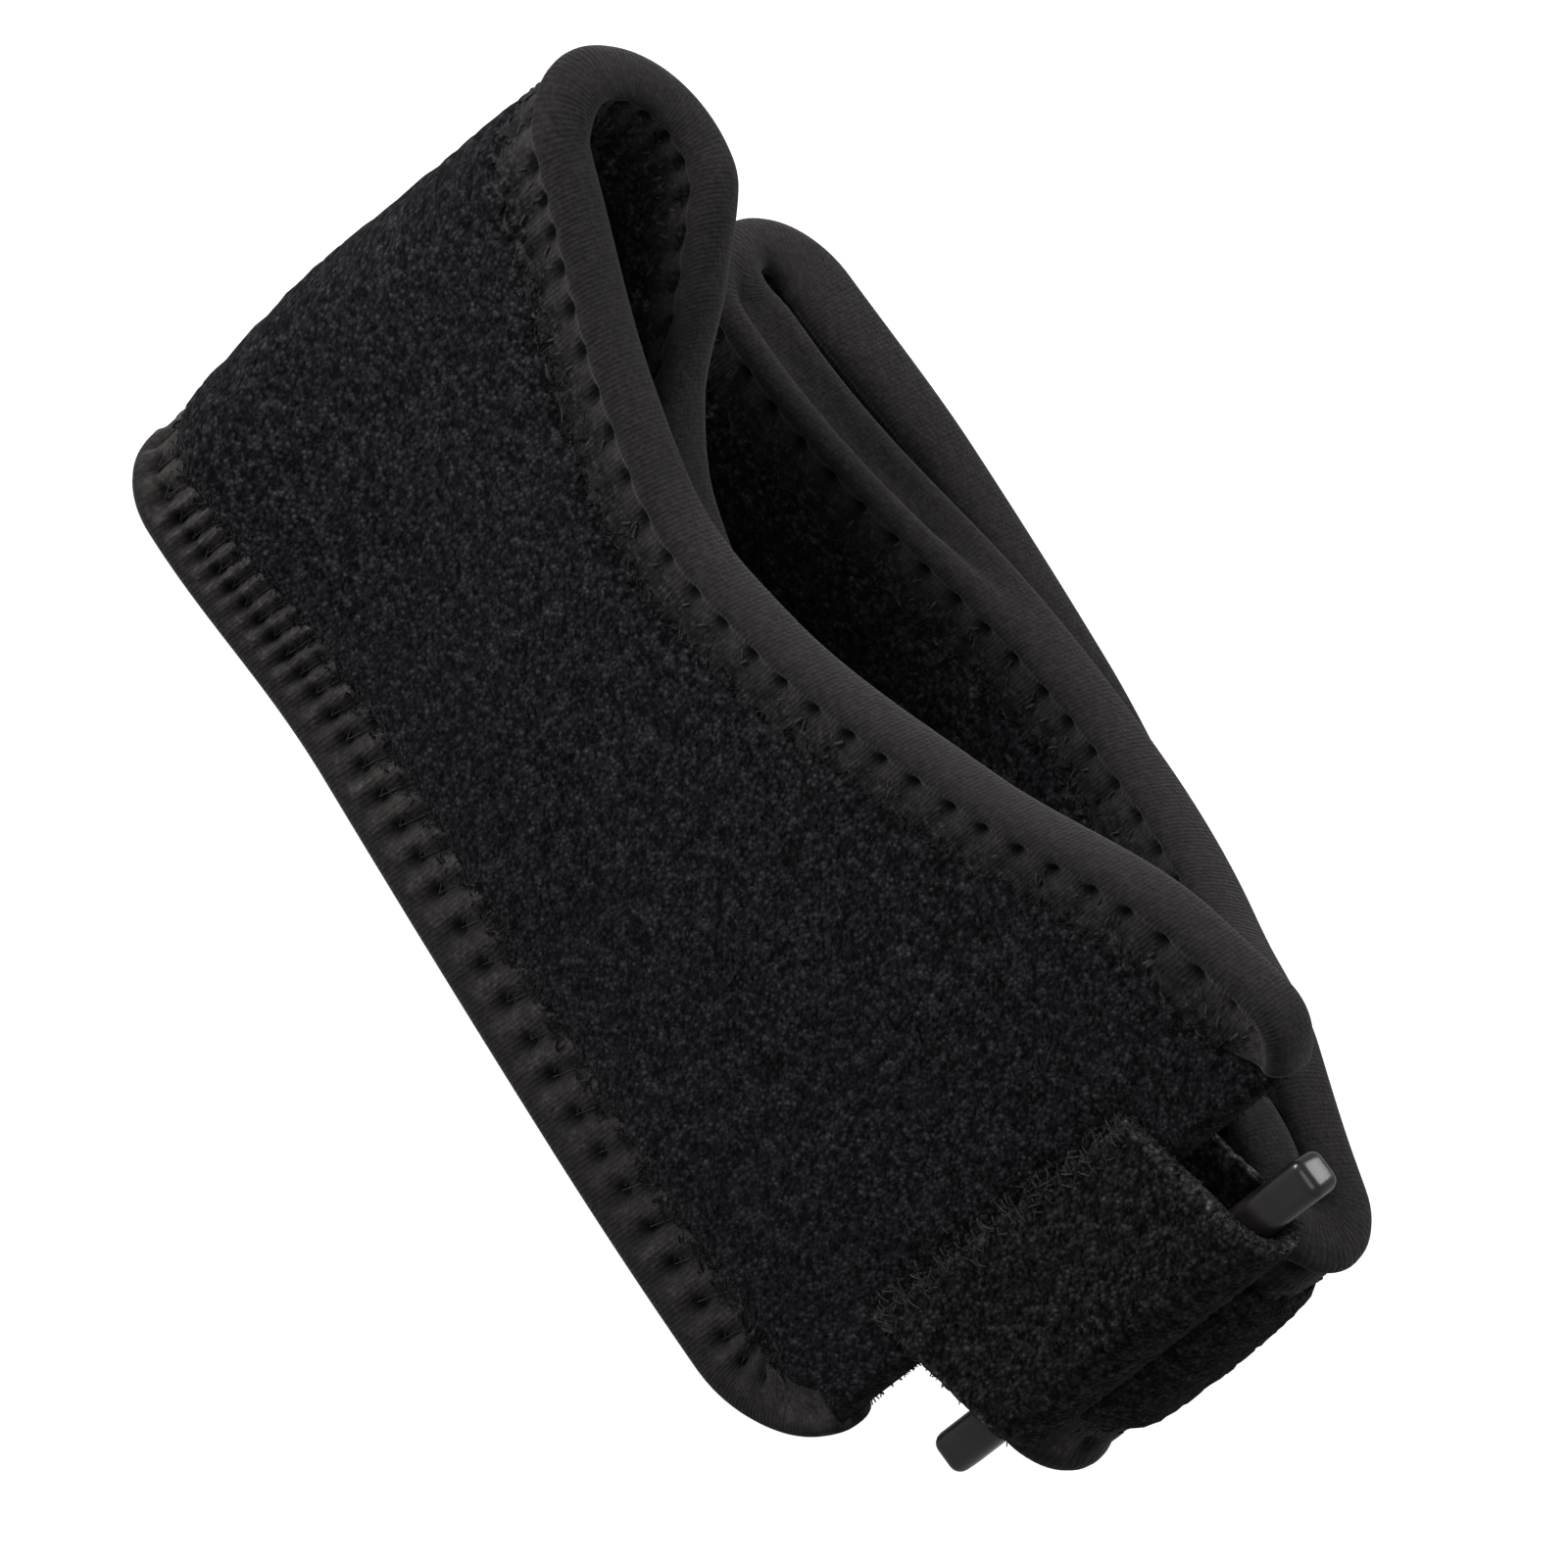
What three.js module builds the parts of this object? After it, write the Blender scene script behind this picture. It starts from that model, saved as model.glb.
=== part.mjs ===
import * as THREE from 'three';

// A patellar strap: one long neoprene band, its edges bound with stretch tape, folded up on itself.
// A loop-tape tab is sewn to the wide end and holds a plastic bar in its fold.
// Millimetres, +Z up. +X runs from the big fold to the bar, and the wide panel faces -Y.

// Driving dimensions of the band and its binding
const bandThickness = 4.4;
const tapeThickness = 0.8;
const seatGap = 0.3;
const bindingWidth = { low: 9.2, high: 7.8 };
const bindingMiddle = 4.5;
const bindingCrown = 1.1;
const restWidth = 2.4;
const edgeRound = 1.9;
const shoulderOff = 2.55;
const shoulderDeep = 0.48;
const panelCorner = { low: 12, high: 8.5 };
const tailCorner = { low: 12, high: 12 };
const cornerClear = 1;

// Driving dimensions of the tab and the bar
const tabThickness = 1.7;
const tabWidth = 38;
const tabOverlap = 7;
const tabStraight = 1;
const tabCentreHeight = 42;
const tabRise = 3.2;
const barReach = 7;
const barSide = 3.8;
const barLength = 54;
const barRound = 0.8;

// Facets
const straightStep = 7;
const turnStep = 17;
const cornerSteps = 4;
const tabTurnSteps = 8;
const barRoundSteps = 3;
const barBevelSteps = 2;

// The strap's way in plan, from the free end of the wide panel to the tail: length and turn of each run
const planStart = { x: 52, y: -24, heading: 186 };
const planRuns = [
  { name: 'panel end', length: 38, turn: -6 },
  { name: 'panel', length: 71, turn: -3 },
  { name: 'big fold, front', length: 8.4, turn: -94 },
  { name: 'big fold, back', length: 17, turn: -102 },
  { name: 'closing in', length: 42, turn: 23 },
  { name: 'strap behind panel', length: 49.5, turn: -1 },
  { name: 'forward to the bar', length: 15.6, turn: -22 },
  { name: 'fold at bar', length: 13.6, turn: 186 },
  { name: 'leaving the bar', length: 27, turn: -17 },
  { name: 'bow', length: 48, turn: 40 },
  { name: 'strap behind pocket', length: 29, turn: -11 },
  { name: 'tail fold', length: 19.6, turn: -176 },
  { name: 'tail', length: 76, turn: -9 },
];

// Lower and upper edge of the band above the floor, at distances along it from the free end
const edgeRows = [
  { at: 0, low: 0, high: 82 },
  { at: 18, low: 0, high: 78.5 },
  { at: 40, low: 0, high: 66 },
  { at: 63, low: 0, high: 55.5 },
  { at: 75, low: 0, high: 53.2 },
  { at: 87, low: 0, high: 55.5 },
  { at: 107, low: 0, high: 66 },
  { at: 118, low: 0, high: 67.5 },
  { at: 133, low: 0, high: 65.5 },
  { at: 142.5, low: 0, high: 59 },
  { at: 150, low: 0, high: 51 },
  { at: 158.5, low: 0, high: 46.5 },
  { at: 169, low: 0, high: 44.7 },
  { at: 185, low: 0, high: 44.5 },
  { at: 237.5, low: 18, high: 62.5 },
  { at: 247.5, low: 18.5, high: 60.5 },
  { at: 257.5, low: 17, high: 60 },
  { at: 286, low: 13, high: 56.5 },
  { at: 330, low: 4.5, high: 48 },
  { at: 355, low: 0.5, high: 44.2 },
  { at: 374, low: 0, high: 43.5 },
  { at: 480, low: 0, high: 43.5 },
];

const strapLength = planRuns.reduce((sum, run) => sum + run.length, 0);

// Position and heading in plan at a distance along the strap; a run with no turn is a straight line
function planAt(distance) {
  let { x, y } = planStart;
  let heading = THREE.MathUtils.degToRad(planStart.heading);
  let left = distance;
  for (const [index, run] of planRuns.entries()) {
    const last = index === planRuns.length - 1;
    const part = last ? left : Math.min(left, run.length);
    const bend = left < 0 ? 0 : THREE.MathUtils.degToRad(run.turn) / run.length;
    const half = (bend * part) / 2;
    const chord = half === 0 ? part : (part * Math.sin(half)) / half;
    x += chord * Math.cos(heading + half);
    y += chord * Math.sin(heading + half);
    heading += bend * part;
    left -= part;
    if (left <= 0) break;
  }
  return { x, y, heading };
}

// A point of the flat pattern, standing off the band's middle surface, carried to its folded place
function fold(distance, height, standOff) {
  const { x, y, heading } = planAt(distance);
  return new THREE.Vector3(x - standOff * Math.sin(heading), y + standOff * Math.cos(heading), height);
}

// Smooth value of a table column that never overshoots its rows
function columnAt(rows, column, at) {
  const count = rows.length;
  const slope = (i) => (rows[i + 1][column] - rows[i][column]) / (rows[i + 1].at - rows[i].at);
  const tangent = (i) => {
    if (i === 0 || i === count - 1) return 0;
    const before = slope(i - 1);
    const after = slope(i);
    return before * after <= 0 ? 0 : (2 * before * after) / (before + after);
  };
  let i = 0;
  while (i < count - 2 && at > rows[i + 1].at) i += 1;
  const span = rows[i + 1].at - rows[i].at;
  const t = (at - rows[i].at) / span;
  const t2 = t * t;
  const t3 = t2 * t;
  return (2 * t3 - 3 * t2 + 1) * rows[i][column]
    + (t3 - 2 * t2 + t) * span * tangent(i)
    + (3 * t2 - 2 * t3) * rows[i + 1][column]
    + (t3 - t2) * span * tangent(i + 1);
}

// Distances along the strap where a section stands, closer together in the folds
function sectionDistances() {
  const distances = [];
  let start = 0;
  for (const run of planRuns) {
    const steps = Math.ceil(Math.max(run.length / straightStep, Math.abs(run.turn) / turnStep));
    for (let i = 0; i < steps; i += 1) distances.push(start + (run.length * i) / steps);
    start += run.length;
  }
  const clear = Math.max(panelCorner.low, panelCorner.high, tailCorner.low, tailCorner.high) + cornerClear;
  return distances.filter((d) => d > clear && d < strapLength - clear);
}

// One long edge of the flat pattern with its rounded corners, and the way inwards at each point:
// square to the edge round a corner, upright between the corners so that it keeps to one fold line
function edgeLine(column) {
  const inward = column === 'low' ? 1 : -1;
  const points = [];
  const corner = (angle, fromTail) => {
    const radius = fromTail ? tailCorner[column] : panelCorner[column];
    const run = radius * (1 - Math.sin(angle));
    const rise = radius * (1 - Math.cos(angle));
    const at = fromTail ? strapLength - run : run;
    points.push({ at, height: columnAt(edgeRows, column, at) + inward * rise, round: true });
  };
  const quarter = Math.PI / 2;
  for (let i = 0; i <= cornerSteps; i += 1) corner(quarter * (1 - i / cornerSteps), false);
  for (const at of sectionDistances()) points.push({ at, height: columnAt(edgeRows, column, at), round: false });
  for (let i = 0; i <= cornerSteps; i += 1) corner((quarter * i) / cornerSteps, true);
  points.forEach((point, i) => {
    const ends = i === 0 || i === points.length - 1;
    const before = points[Math.max(i - 1, 0)];
    const after = points[Math.min(i + 1, points.length - 1)];
    const run = ends ? 0 : after.at - before.at;
    const rise = ends ? inward * (i === 0 ? -1 : 1) : after.height - before.height;
    const size = Math.hypot(run, rise);
    point.inAt = point.round ? (-inward * rise) / size : 0;
    point.inHeight = point.round ? (inward * run) / size : (inward * size) / run;
  });
  return points;
}

// A closed solid through rings of points, with flat ends; capTriangles fills one ring
function loftSolid(rings, capTriangles) {
  const sides = rings[0].length;
  const positions = rings.flat().flatMap((point) => point.toArray());
  const index = [];
  for (let i = 0; i < rings.length - 1; i += 1) {
    for (let j = 0; j < sides; j += 1) {
      const a = i * sides + j;
      const b = i * sides + ((j + 1) % sides);
      index.push(a, b, b + sides, a, b + sides, a + sides);
    }
  }
  const lastRing = (rings.length - 1) * sides;
  for (const [a, b, c] of capTriangles) {
    index.push(a, c, b);
    index.push(lastRing + a, lastRing + b, lastRing + c);
  }
  const geometry = new THREE.BufferGeometry();
  geometry.setAttribute('position', new THREE.Float32BufferAttribute(positions, 3));
  geometry.setIndex(signedVolume(positions, index) < 0 ? index.reverse() : index);
  geometry.computeVertexNormals();
  return geometry;
}

function signedVolume(positions, index) {
  const corner = (i) => new THREE.Vector3().fromArray(positions, index[i] * 3);
  let volume = 0;
  for (let i = 0; i < index.length; i += 3) volume += corner(i).dot(corner(i + 1).cross(corner(i + 2))) / 6;
  return volume;
}

const rectangleCap = [[0, 1, 2], [0, 2, 3]];

// The neoprene, standing back from the inside of its binding all round but at its cut end
function makeBand() {
  const inset = bindingCrown + seatGap;
  const half = bandThickness / 2;
  const low = edgeLine('low');
  const high = edgeLine('high');
  const corner = (point, standOff) =>
    fold(point.at + inset * point.inAt, point.height + inset * point.inHeight, standOff);
  const rings = low.map((point, i) => [
    corner(point, -half),
    corner(high[i], -half),
    corner(high[i], half),
    corner(point, half),
  ]);
  return loftSolid(rings, rectangleCap);
}

// The binding's section: how far off the band's middle and how far in from the bound edge
function bindingProfile(width) {
  const inner = bandThickness / 2 + seatGap;
  const outer = inner + tapeThickness;
  const side = (sign) => [
    { off: sign * outer, deep: width },
    { off: sign * outer, deep: bindingMiddle },
    { off: sign * outer, deep: edgeRound },
    { off: sign * shoulderOff, deep: shoulderDeep },
    { off: sign * (restWidth / 2), deep: 0 },
  ];
  return [
    ...side(-1),
    ...side(1).reverse(),
    { off: inner, deep: width },
    { off: inner, deep: bindingMiddle },
    { off: inner, deep: bindingCrown },
    { off: -inner, deep: bindingCrown },
    { off: -inner, deep: bindingMiddle },
    { off: -inner, deep: width },
  ];
}

// Tape folded over one long edge, from the wide panel's corner to the middle of the tail's end
function makeBinding(column) {
  const profile = bindingProfile(bindingWidth[column]);
  const line = edgeLine(column);
  const tailEnd = line[line.length - 1];
  const middle = (columnAt(edgeRows, 'low', strapLength) + columnAt(edgeRows, 'high', strapLength)) / 2;
  line.push({ ...tailEnd, height: middle + (column === 'low' ? -seatGap / 2 : seatGap / 2) });
  const rings = line.map((point) => profile.map(({ off, deep }) =>
    fold(point.at + deep * point.inAt, point.height + deep * point.inHeight, off)));
  const outline = profile.map(({ off, deep }) => new THREE.Vector2(off, deep));
  return loftSolid(rings, THREE.ShapeUtils.triangulateShape(outline, []));
}

// The tab: front leg on the panel's face, round the bar, back leg under the panel
function makeTab() {
  const half = tabThickness / 2;
  const legOff = bandThickness / 2 + seatGap + half;
  const barCorner = (barSide / 2 - barRound) * Math.SQRT2 + barRound;
  const turnRadius = barCorner + seatGap + half;
  const path = [
    { at: tabOverlap, off: legOff, side: 1, along: 0 },
    { at: -tabStraight, off: legOff, side: 1, along: 0 },
  ];
  for (let i = 0; i <= tabTurnSteps; i += 1) {
    const angle = (Math.PI * i) / tabTurnSteps;
    path.push({
      at: -barReach - turnRadius * Math.sin(angle),
      off: turnRadius * Math.cos(angle),
      side: Math.cos(angle),
      along: -Math.sin(angle),
    });
  }
  path.push({ at: -tabStraight, off: -legOff, side: -1, along: 0 });
  path.push({ at: tabOverlap, off: -legOff, side: -1, along: 0 });
  const rings = path.map(({ at, off, side, along }) => {
    const centre = tabCentreHeight + riseAt(at);
    const corner = (standing, outwards) =>
      fold(at + outwards * half * along, centre + (standing * tabWidth) / 2, off + outwards * half * side);
    return [corner(-1, -1), corner(1, -1), corner(1, 1), corner(-1, 1)];
  });
  return loftSolid(rings, rectangleCap);
}

// The tab climbs a little from its sewn end to the bar
function riseAt(at) {
  return (tabRise * (tabOverlap - at)) / (tabOverlap + barReach);
}

// The bar: a square rod with rounded edges and ends
function makeBar() {
  const flat = barSide / 2 - barRound;
  const bevel = barRound / 2;
  const quarter = Math.PI / 2;
  const corners = [[flat, flat], [-flat, flat], [-flat, -flat], [flat, -flat]];
  const shape = new THREE.Shape();
  corners.forEach(([x, y], i) => shape.absarc(x, y, barRound - bevel, quarter * i, quarter * (i + 1)));
  shape.closePath();
  const geometry = new THREE.ExtrudeGeometry(shape, {
    depth: barLength - 2 * bevel,
    curveSegments: barRoundSteps,
    bevelThickness: bevel,
    bevelSize: bevel,
    bevelSegments: barBevelSteps,
  });
  geometry.translate(0, 0, bevel - barLength / 2);
  return geometry;
}

function addPiece(group, name, geometry, finish) {
  const piece = new THREE.Mesh(geometry, new THREE.MeshStandardMaterial(finish));
  piece.name = name;
  group.add(piece);
  return piece;
}

const pileFinish = { color: 0x17171b, roughness: 0.95, metalness: 0 };
const tapeFinish = { color: 0x2c2928, roughness: 0.85, metalness: 0 };
const loopFinish = { color: 0x1f1b1b, roughness: 0.95, metalness: 0 };
const plasticFinish = { color: 0x3d393b, roughness: 0.4, metalness: 0 };

const strap = new THREE.Group();
addPiece(strap, 'neoprene_band', makeBand(), pileFinish);
addPiece(strap, 'binding_top', makeBinding('high'), tapeFinish);
addPiece(strap, 'binding_bottom', makeBinding('low'), tapeFinish);
addPiece(strap, 'bar_tab', makeTab(), loopFinish);

const bar = addPiece(strap, 'tab_bar', makeBar(), plasticFinish);
bar.position.copy(fold(-barReach, tabCentreHeight + riseAt(-barReach), 0));
bar.rotation.z = planAt(-barReach).heading;

// The frame's origin is the middle of the underside
const box = new THREE.Box3().setFromObject(strap);
const middle = box.getCenter(new THREE.Vector3());
strap.position.set(-middle.x, -middle.y, -box.min.z);

export default strap;
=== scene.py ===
import math

import bmesh
import bpy
import numpy as np
from mathutils import Matrix, Vector


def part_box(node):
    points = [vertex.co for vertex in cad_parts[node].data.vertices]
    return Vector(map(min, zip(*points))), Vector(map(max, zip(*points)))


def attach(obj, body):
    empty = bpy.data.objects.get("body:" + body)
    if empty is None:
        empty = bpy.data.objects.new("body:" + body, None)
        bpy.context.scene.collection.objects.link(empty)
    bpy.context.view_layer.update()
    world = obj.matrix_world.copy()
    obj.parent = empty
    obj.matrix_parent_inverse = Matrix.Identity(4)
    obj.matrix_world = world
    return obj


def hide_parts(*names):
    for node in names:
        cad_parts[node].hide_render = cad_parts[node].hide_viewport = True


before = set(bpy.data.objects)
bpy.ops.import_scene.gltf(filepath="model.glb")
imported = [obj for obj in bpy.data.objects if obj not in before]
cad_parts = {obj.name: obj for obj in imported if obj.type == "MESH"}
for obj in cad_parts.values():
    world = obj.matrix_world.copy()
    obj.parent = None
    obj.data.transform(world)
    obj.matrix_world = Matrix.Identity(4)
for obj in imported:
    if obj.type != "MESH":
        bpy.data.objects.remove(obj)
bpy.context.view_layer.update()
mm = 0.001
print("frame loaded:", ", ".join(sorted(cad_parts)))


# the folded strap: every size below is in mm, along the band, up across it and off its middle

strapWay = {
    "start": (52.0, -24.0),
    "heading": 186.0,
    "runs": [  # run, length, turn in degrees
        ("panel end", 38, -6),
        ("panel", 71, -3),
        ("big fold, front", 8.4, -94),
        ("big fold, back", 17, -102),
        ("closing in", 42, 23),
        ("strap behind panel", 49.5, -1),
        ("forward to the bar", 15.6, -22),
        ("fold at bar", 13.6, 186),
        ("leaving the bar", 27, -17),
        ("bow", 48, 40),
        ("strap behind pocket", 29, -11),
        ("tail fold", 19.6, -176),
        ("tail", 76, -9),
    ],
    "edges": [  # distance along, lower edge, upper edge
        (0, 0, 82), (18, 0, 78.5), (40, 0, 66), (63, 0, 55.5),
        (75, 0, 53.2), (87, 0, 55.5), (107, 0, 62.9), (118, 0, 66.9),
        (133, 0, 65.5), (142.5, 0, 59), (150, 0, 51), (158.5, 0, 46.5),
        (169, 0, 44.7), (185, 0, 44.5), (237.5, 18, 62.5), (247.5, 18.5, 60.5),
        (257.5, 17, 61.2), (270, 15.3, 61.8), (286, 13, 57.8), (330, 4.5, 48),
        (355, 0.5, 44.2), (374, 0, 43.5), (398, 0, 44.6), (422, 0, 44.7),
        (445, 0, 43.5), (480, 0, 43.5),
    ],
    "endCorner": {"low": 13.5, "high": 8.5},
    "tailCorner": {"low": 12, "high": 12},
}

strapLength = sum(run[1] for run in strapWay["runs"])
edgeTable = np.array(strapWay["edges"], float)
edgeColumn = {"low": 1, "high": 2}


def layOutRuns():
    rows = []
    at = 0.0
    x, y = strapWay["start"]
    heading = math.radians(strapWay["heading"])
    for _, length, turn in strapWay["runs"]:
        bend = math.radians(turn) / length
        rows.append((at, x, y, heading, bend))
        half = bend * length / 2
        chord = length * np.sinc(half / math.pi)
        x += chord * math.cos(heading + half)
        y += chord * math.sin(heading + half)
        heading += bend * length
        at += length
    return np.array(rows)


runTable = layOutRuns()


def smooth(low, high, value):
    t = np.clip((value - low) / (high - low), 0, 1)
    return t * t * (3 - 2 * t)


def between(run, value):
    # up from 0 to 1 and back again over the four distances of a run
    start, full, leave, over = run
    return smooth(start, full, value) * (1 - smooth(leave, over, value))


def planAt(at):
    at = np.asarray(at, float)
    row = np.clip(np.searchsorted(runTable[:, 0], at, "right") - 1, 0, len(runTable) - 1)
    start, x, y, heading, bend = runTable[row].transpose(-1, *range(at.ndim))
    bend = np.where(at < 0, 0.0, bend)  # straight on before the free end
    part = at - start
    half = bend * part / 2
    chord = part * np.sinc(half / math.pi)
    return x + chord * np.cos(heading + half), y + chord * np.sin(heading + half), heading + bend * part


flare = {"run": (78, 111, 113, 136), "height": 30, "shift": (3.0, -3.6)}


def footShift(at, height):
    # the foot of the big fold stands a little forward of its top
    return between(flare["run"], at) * (1 - smooth(0, flare["height"], height))


def foldFlat(at, height, off):
    x, y, heading = planAt(at)
    lean = footShift(at, height)
    x = x - off * np.sin(heading) + lean * flare["shift"][0]
    y = y + off * np.cos(heading) + lean * flare["shift"][1]
    return np.stack([x, y, height + 0 * x], -1)


def tableAt(knots, values, at):
    # smooth value between the rows of a table, never past the rows beside it
    at = np.clip(np.asarray(at, float), knots[0], knots[-1])
    slope = np.diff(values) / np.diff(knots)
    before, after = slope[:-1], slope[1:]
    both = before + after
    inner = np.where(before * after > 0, 2 * before * after / np.where(both == 0, 1, both), 0)
    tangent = np.concatenate([[0], inner, [0]])
    row = np.clip(np.searchsorted(knots, at, "right") - 1, 0, len(knots) - 2)
    span = knots[row + 1] - knots[row]
    t = (at - knots[row]) / span
    rise = 3 * t**2 - 2 * t**3
    return (
        values[row] * (1 - rise)
        + values[row + 1] * rise
        + span * tangent[row] * (t**3 - 2 * t**2 + t)
        + span * tangent[row + 1] * (t**3 - t**2)
    )


def edgeAt(side, at):
    return tableAt(edgeTable[:, 0], edgeTable[:, edgeColumn[side]], at)


def placeOffset():
    # the CAD model is centred on its box: the band's own box says by how much
    cadHalf = 2.2
    at = np.linspace(0, strapLength, 1800)
    sides = np.concatenate([foldFlat(at, flare["height"], off) for off in (-cadHalf, cadHalf)])
    low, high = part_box("neoprene_band")
    middle = (np.array(low) + np.array(high)) / 2 / mm
    own = (sides.min(0) + sides.max(0)) / 2
    return np.array([middle[0] - own[0], middle[1] - own[1], 0])


strapOffset = placeOffset()
print("strap length %.1f mm, offset %s" % (strapLength, np.round(strapOffset, 2)))


# shared mesh making

def addObject(name, data):
    item = bpy.data.objects.new(name, data)
    bpy.context.scene.collection.objects.link(item)
    return item


def shadeSmooth(mesh):
    mesh.polygons.foreach_set("use_smooth", np.ones(len(mesh.polygons), bool))


def flatMesh(name, points, faces, uv, marks):
    mesh = bpy.data.meshes.new(name)
    mesh.from_pydata(((points + strapOffset) * mm).tolist(), [], faces.tolist())
    corner = np.empty(len(mesh.loops), np.int32)
    mesh.loops.foreach_get("vertex_index", corner)
    layer = mesh.uv_layers.new(name="cloth")
    layer.data.foreach_set("uv", uv[corner].astype(np.float32).ravel())
    for mark, values in marks.items():
        attribute = mesh.attributes.new(mark, "FLOAT", "POINT")
        attribute.data.foreach_set("value", np.asarray(values, np.float32).ravel())
    shadeSmooth(mesh)
    mesh.update()
    return addObject(name, mesh)


def sleeveMesh(name, outer, inner, cloth, marks):
    # a closed solid from rows of outer points and their inner partners, marked on the outside
    rows, count = outer.shape[:2]
    rings = np.concatenate([outer, inner[:, ::-1]], 1)
    uv = np.concatenate([cloth, cloth[:, ::-1]], 1)
    sides = 2 * count
    index = np.arange(rows * sides).reshape(rows, sides)
    turned = np.roll(index, -1, 1)
    walls = np.stack([index[:-1], turned[:-1], turned[1:], index[1:]], -1).reshape(-1, 4)
    j = np.arange(count - 1)
    ends = []
    for row, flip in ((0, True), (rows - 1, False)):
        a = index[row]
        strip = np.stack([a[j], a[j + 1], a[sides - 2 - j], a[sides - 1 - j]], -1)
        ends.append(strip[:, ::-1] if flip else strip)
    faces = np.concatenate([walls, *ends])
    points = rings.reshape(-1, 3)
    a, b, c, d = (points[faces[:, k]] for k in range(4))
    volume = (a * (np.cross(b, c) + np.cross(c, d))).sum()
    if volume < 0:
        faces = faces[:, ::-1]
    ringMarks = {mark: np.concatenate([outside, 0 * outside], 1) for mark, outside in marks.items()}
    return flatMesh(name, points, faces, uv.reshape(-1, 2), ringMarks)


def finishPiece(piece, look, slotName, *nodes):
    piece.data.materials.clear()
    piece.data.materials.append(look)
    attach(piece, "root")
    if nodes:
        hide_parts(*nodes)
    triangles = sum(len(p.vertices) - 2 for p in piece.data.polygons)
    print("piece %s: %d triangles" % (piece.name, triangles))
    return piece


# shared node trees and shader effects

def addNode(tree, kind, inputs, **settings):
    # a node with its settings made and its inputs linked or set
    node = tree.nodes.new(kind)
    for key, value in settings.items():
        setattr(node, key, value)
    for label, value in inputs.items():
        if hasattr(value, "is_linked"):
            tree.links.new(value, node.inputs[label])
        else:
            node.inputs[label].default_value = value
    return node


def newGroup(kind, name, inputs, outputs):
    group = bpy.data.node_groups.new(name, kind)
    for way, sockets in (("INPUT", inputs), ("OUTPUT", outputs)):
        for label, socketKind in sockets.items():
            group.interface.new_socket(label, in_out=way, socket_type="NodeSocket" + socketKind)
    entry = group.nodes.new("NodeGroupInput")
    leave = group.nodes.new("NodeGroupOutput")
    return group, entry.outputs, leave.inputs


def addMath(tree, operation, first, second):
    return addNode(tree, "ShaderNodeMath", {0: first, 1: second}, operation=operation).outputs[0]


def remap(tree, value, low, high, toLow, toHigh):
    span = {"Value": value, "From Min": low, "From Max": high, "To Min": toLow, "To Max": toHigh}
    return addNode(tree, "ShaderNodeMapRange", span).outputs["Result"]


def makeFleckGroup():
    # fibre tips that catch the light here and there over dark gaps
    inputs = {"Place": "Vector", "Fineness": "Float", "Rarity": "Float"}
    outputs = {"Fleck": "Float", "Height": "Float"}
    group, entry, leave = newGroup("ShaderNodeTree", "fibreFleck", inputs, outputs)
    place = entry["Place"]
    cells = addNode(group, "ShaderNodeTexVoronoi", {"Vector": place, "Scale": entry["Fineness"]})
    chance = addNode(group, "ShaderNodeSeparateColor", {"Color": cells.outputs["Color"]})
    haze = addNode(group, "ShaderNodeTexNoise", {
        "Vector": place,
        "Scale": addMath(group, "MULTIPLY", entry["Fineness"], 0.45),
        "Detail": 3.0,
        "Roughness": 0.75,
    })
    tips = remap(group, cells.outputs["Distance"], 0.0, 0.8, 1.0, 0.0)
    cloud = remap(group, haze.outputs["Fac"], 0.36, 0.7, 0.05, 1.0)
    lit = addMath(group, "POWER", chance.outputs["Red"], entry["Rarity"])
    dots = addMath(group, "MULTIPLY", tips, lit)
    dots = addMath(group, "MULTIPLY", dots, addMath(group, "ADD", cloud, 0.25))
    mottle = addMath(group, "MULTIPLY", addMath(group, "MULTIPLY", cloud, cloud), 0.4)
    stand = addMath(group, "ADD", chance.outputs["Green"], 0.4)
    group.links.new(addMath(group, "ADD", dots, mottle), leave["Fleck"])
    group.links.new(addMath(group, "MULTIPLY", tips, stand), leave["Height"])
    return group


def makeToneGroup():
    # slow drift of tone from handling and lint
    inputs = {"Place": "Vector", "Patch": "Float"}
    group, entry, leave = newGroup("ShaderNodeTree", "handledTone", inputs, {"Tone": "Float"})
    drift = addNode(group, "ShaderNodeTexNoise", {
        "Vector": entry["Place"],
        "Scale": entry["Patch"],
        "Detail": 4.0,
    })
    group.links.new(remap(group, drift.outputs["Fac"], 0.3, 0.7, 0.0, 1.0), leave["Tone"])
    return group


def makeRibGroup():
    # fine knitted ribs across a tape, along the cloth map's first axis
    inputs = {"Cloth": "Vector", "Ribs": "Float", "Wander": "Float"}
    outputs = {"Rib": "Float", "Height": "Float"}
    group, entry, leave = newGroup("ShaderNodeTree", "knitRib", inputs, outputs)
    cloth = entry["Cloth"]
    bands = addMath(group, "MULTIPLY", entry["Ribs"], 0.31416)  # the wave has 10 bands in pi units
    wave = addNode(
        group, "ShaderNodeTexWave",
        {"Vector": cloth, "Scale": bands, "Distortion": entry["Wander"], "Detail": 2.0, "Detail Scale": 1.4},
        wave_type="BANDS", bands_direction="X", wave_profile="SIN",
    ).outputs["Fac"]
    fine = addMath(group, "MULTIPLY", entry["Ribs"], 1.3)
    loops = addNode(group, "ShaderNodeTexVoronoi", {"Vector": cloth, "Scale": fine})
    grain = remap(group, loops.outputs["Distance"], 0.0, 0.8, 1.0, 0.0)
    raised = addMath(group, "ADD", wave, addMath(group, "MULTIPLY", grain, 0.45))
    group.links.new(wave, leave["Rib"])
    group.links.new(raised, leave["Height"])
    return group


fleckGroup = makeFleckGroup()
toneGroup = makeToneGroup()
ribGroup = makeRibGroup()


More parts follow.
